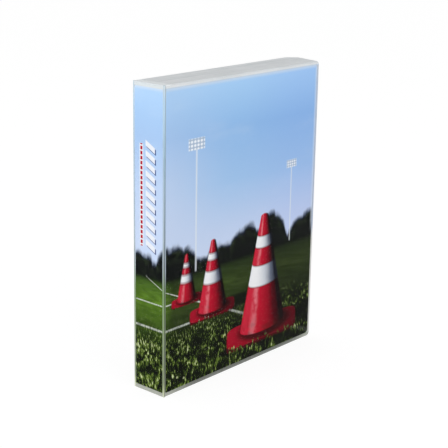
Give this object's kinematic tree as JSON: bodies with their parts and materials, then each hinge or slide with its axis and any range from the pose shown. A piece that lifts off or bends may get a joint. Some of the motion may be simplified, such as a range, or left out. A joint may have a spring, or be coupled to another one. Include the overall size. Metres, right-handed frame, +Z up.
{
  "type": "card album case",
  "caption": "Upright clamshell ring album for collectors' cards: frosted plastic halves and spine on hinge webs, printed insert under clear film, ring strip and clear pocket pages inside.",
  "frame": {"origin": "centre of the closed case's footprint, on the surface that it stands on", "axes": "+Z up along the spine, the printed front faces -Y, the spine is at -X and the fore-edge at +X"},
  "size_m": [0.1806, 0.031, 0.232],
  "materials": {
    "frosted_shell": "frosted translucent polypropylene, fine satin grain",
    "frosted_web": "thin flexed polypropylene web, satin",
    "printed_insert": "colour-printed coated paper",
    "clear_film": "clear glossy film",
    "ring_plastic": "moulded natural plastic, satin gloss",
    "steel_pin": "drawn steel wire",
    "page_film": "clear embossed page film with weld lines"
  },
  "bodies": {
    "back_half": {"back_cover": "frosted_shell", "back_print_sheet": "printed_insert", "back_clear_overlay": "clear_film"},
    "spine": {"spine_panel": "frosted_shell", "rear_hinge_web": "frosted_web", "front_hinge_web": "frosted_web", "spine_print_sheet": "printed_insert", "spine_clear_overlay": "clear_film", "ring_base_strip": "ring_plastic", "ring_hinge_pin": "steel_pin", "ring_strip_studs": "ring_plastic"},
    "front_half": {"front_cover": "frosted_shell", "front_print_sheet": "printed_insert", "front_clear_overlay": "clear_film"},
    "ring_gate": {"ring_gate_bar": "ring_plastic"},
    "page_01": {"pocket_page_01": "page_film"},
    "page_02": {"pocket_page_02": "page_film"},
    "page_03": {"pocket_page_03": "page_film"},
    "page_04": {"pocket_page_04": "page_film"},
    "page_05": {"pocket_page_05": "page_film"},
    "page_06": {"pocket_page_06": "page_film"},
    "page_07": {"pocket_page_07": "page_film"},
    "page_08": {"pocket_page_08": "page_film"},
    "page_09": {"pocket_page_09": "page_film"},
    "page_10": {"pocket_page_10": "page_film"}
  },
  "joints": [
    {"name": "spine_hinge", "type": "hinge", "parent": "back_half", "child": "spine", "pos_m": [-0.08945, 0.0147, 0.116], "axis": [0, 0, -1], "range_deg": [0, 90]},
    {"name": "front_cover_hinge", "type": "hinge", "parent": "spine", "child": "front_half", "pos_m": [-0.08945, -0.0147, 0.116], "axis": [0, 0, -1], "range_deg": [0, 90]},
    {"name": "ring_gate_hinge", "type": "hinge", "parent": "spine", "child": "ring_gate", "pos_m": [-0.08407, -0.00558, 0.116], "axis": [0, 0, -1], "range_deg": [0, 20]},
    {"name": "page_turn_01", "type": "hinge", "parent": "spine", "child": "page_01", "pos_m": [-0.07765, 0, 0.116], "axis": [0, 0, 1], "range_deg": [0, 90]},
    {"name": "page_turn_02", "type": "hinge", "parent": "spine", "child": "page_02", "pos_m": [-0.07765, 0, 0.116], "axis": [0, 0, 1], "range_deg": [0, 90]},
    {"name": "page_turn_03", "type": "hinge", "parent": "spine", "child": "page_03", "pos_m": [-0.07765, 0, 0.116], "axis": [0, 0, 1], "range_deg": [0, 90]},
    {"name": "page_turn_04", "type": "hinge", "parent": "spine", "child": "page_04", "pos_m": [-0.07765, 0, 0.116], "axis": [0, 0, 1], "range_deg": [0, 90]},
    {"name": "page_turn_05", "type": "hinge", "parent": "spine", "child": "page_05", "pos_m": [-0.07765, 0, 0.116], "axis": [0, 0, 1], "range_deg": [0, 90]},
    {"name": "page_turn_06", "type": "hinge", "parent": "spine", "child": "page_06", "pos_m": [-0.07765, 0, 0.116], "axis": [0, 0, 1], "range_deg": [0, 90]},
    {"name": "page_turn_07", "type": "hinge", "parent": "spine", "child": "page_07", "pos_m": [-0.07765, 0, 0.116], "axis": [0, 0, 1], "range_deg": [0, 90]},
    {"name": "page_turn_08", "type": "hinge", "parent": "spine", "child": "page_08", "pos_m": [-0.07765, 0, 0.116], "axis": [0, 0, 1], "range_deg": [0, 90]},
    {"name": "page_turn_09", "type": "hinge", "parent": "spine", "child": "page_09", "pos_m": [-0.07765, 0, 0.116], "axis": [0, 0, 1], "range_deg": [0, 90]},
    {"name": "page_turn_10", "type": "hinge", "parent": "spine", "child": "page_10", "pos_m": [-0.07765, 0, 0.116], "axis": [0, 0, 1], "range_deg": [0, 90]}
  ],
  "couplings": [
    {"joint": "page_turn_01", "follows": "spine_hinge", "ratio": 0.05},
    {"joint": "page_turn_02", "follows": "spine_hinge", "ratio": 0.15},
    {"joint": "page_turn_03", "follows": "spine_hinge", "ratio": 0.25},
    {"joint": "page_turn_04", "follows": "spine_hinge", "ratio": 0.35},
    {"joint": "page_turn_05", "follows": "spine_hinge", "ratio": 0.45},
    {"joint": "page_turn_06", "follows": "spine_hinge", "ratio": 0.55},
    {"joint": "page_turn_07", "follows": "spine_hinge", "ratio": 0.65},
    {"joint": "page_turn_08", "follows": "spine_hinge", "ratio": 0.75},
    {"joint": "page_turn_09", "follows": "spine_hinge", "ratio": 0.85},
    {"joint": "page_turn_10", "follows": "spine_hinge", "ratio": 0.95}
  ]
}
